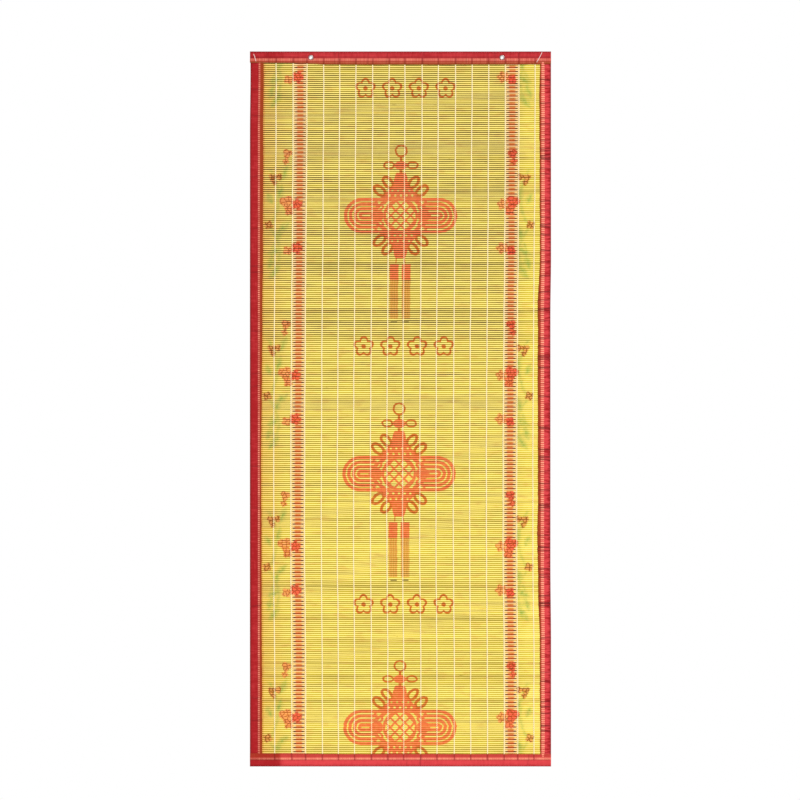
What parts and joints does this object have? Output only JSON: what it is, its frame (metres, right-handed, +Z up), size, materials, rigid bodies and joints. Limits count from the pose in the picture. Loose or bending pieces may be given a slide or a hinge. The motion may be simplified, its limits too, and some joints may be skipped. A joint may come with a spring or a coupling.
{
  "type": "split-bamboo door curtain",
  "caption": "Door curtain of flat bamboo splints tied by warp yarns, bound on every edge with folded cloth tape and hung by metal eyelets in its top binding.",
  "frame": {"origin": "middle of the curtain's top edge, at the fold of the top binding", "axes": "+Z up along the hang, +X to the right when the printed face is seen, -Y out of the printed face"},
  "size_m": [0.8, 0.0101, 1.9],
  "materials": {
    "bamboo": "printed split bamboo, satin",
    "yarn": "cream cotton yarn",
    "cloth": "red satin tape",
    "nickel": "nickel plated"
  },
  "bodies": {
    "root": {"bamboo_mat": "bamboo", "warp_01": "yarn", "warp_02": "yarn", "warp_03": "yarn", "warp_04": "yarn", "warp_05": "yarn", "warp_06": "yarn", "warp_07": "yarn", "warp_08": "yarn", "warp_09": "yarn", "warp_10": "yarn", "warp_11": "yarn", "warp_12": "yarn", "warp_13": "yarn", "warp_14": "yarn", "warp_15": "yarn", "warp_16": "yarn", "warp_17": "yarn", "binding_top": "cloth", "binding_bottom": "cloth", "binding_left": "cloth", "binding_right": "cloth", "eyelet_left": "nickel", "eyelet_right": "nickel"}
  },
  "joints": []
}
